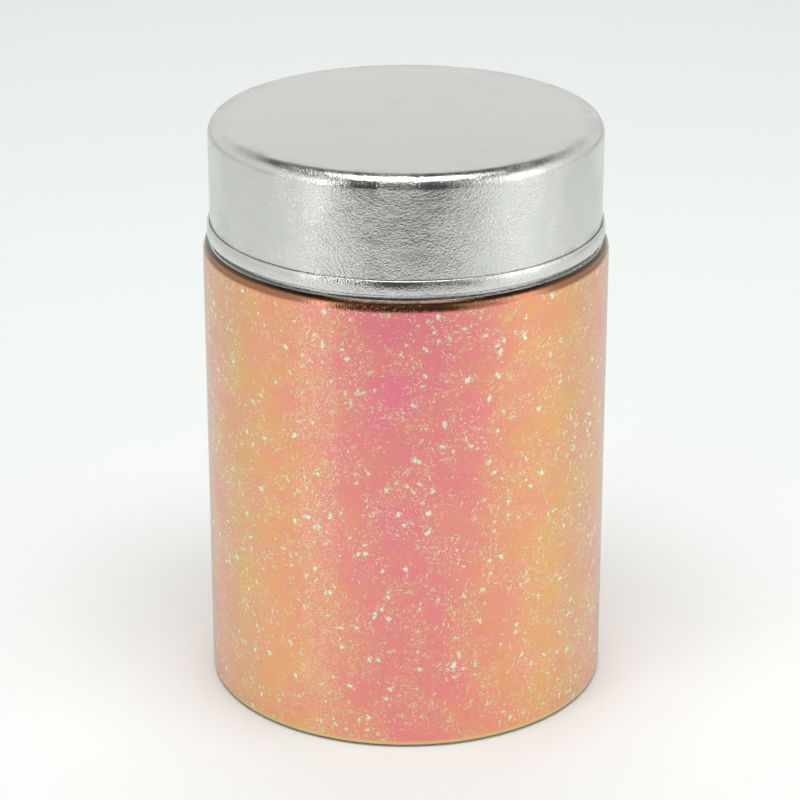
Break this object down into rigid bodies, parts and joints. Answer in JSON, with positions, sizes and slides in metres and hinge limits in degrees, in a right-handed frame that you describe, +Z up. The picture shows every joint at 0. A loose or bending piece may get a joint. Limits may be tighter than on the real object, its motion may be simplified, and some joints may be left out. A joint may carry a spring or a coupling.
{
  "type": "powder tin",
  "caption": "Round slip-lid tin with a rolled shoulder, colour-shifting flaked wall and satin metal lid, over a lift-out shaker cup with a turning shutter.",
  "frame": {"origin": "centre of the circle on which the foot rests, at the bottom of the tin", "axes": "+Z up along the axis of the tin; -Y is the front, where the shutter's finger tab is; the side seam is at +Y"},
  "size_m": [0.076, 0.0761, 0.1112],
  "materials": {
    "satin_tinplate": "satin tinplate with a fine drawn grain",
    "liner_foam": "matte expanded foam",
    "plain_tinplate": "plain tinplate",
    "colour_film": "metallised colour-shifting film with flakes",
    "lacquered_tinplate": "tinplate under clear lacquer",
    "seal_compound": "matte compound",
    "neck_tinplate": "bright tinplate",
    "shutter_tinplate": "satin tinplate with turning marks",
    "washer_steel": "bright spring steel",
    "rivet_aluminium": "satin, pressed"
  },
  "bodies": {
    "tin": {"body_shell": "plain_tinplate", "colour_film": "colour_film", "base_end": "lacquered_tinplate", "base_seal": "seal_compound", "neck_ring": "neck_tinplate"},
    "shaker": {"shaker_cup": "neck_tinplate", "friction_washer": "washer_steel", "pivot_rivet": "rivet_aluminium"},
    "shutter": {"shutter_disc": "shutter_tinplate"},
    "lid": {"lid_shell": "satin_tinplate", "lid_liner": "liner_foam"}
  },
  "joints": [
    {"name": "shaker_lift", "type": "slide", "parent": "tin", "child": "shaker", "axis": [0, 0, 1], "range_m": [0, 0.012]},
    {"name": "lid_lift", "type": "slide", "parent": "shaker", "child": "lid", "axis": [0, 0, 1], "range_m": [0, 0.03]},
    {"name": "shutter_turn", "type": "hinge", "parent": "shaker", "child": "shutter", "pos_m": [0, 0, 0.1005], "axis": [0, 0, 1], "range_deg": [0, 15]}
  ]
}
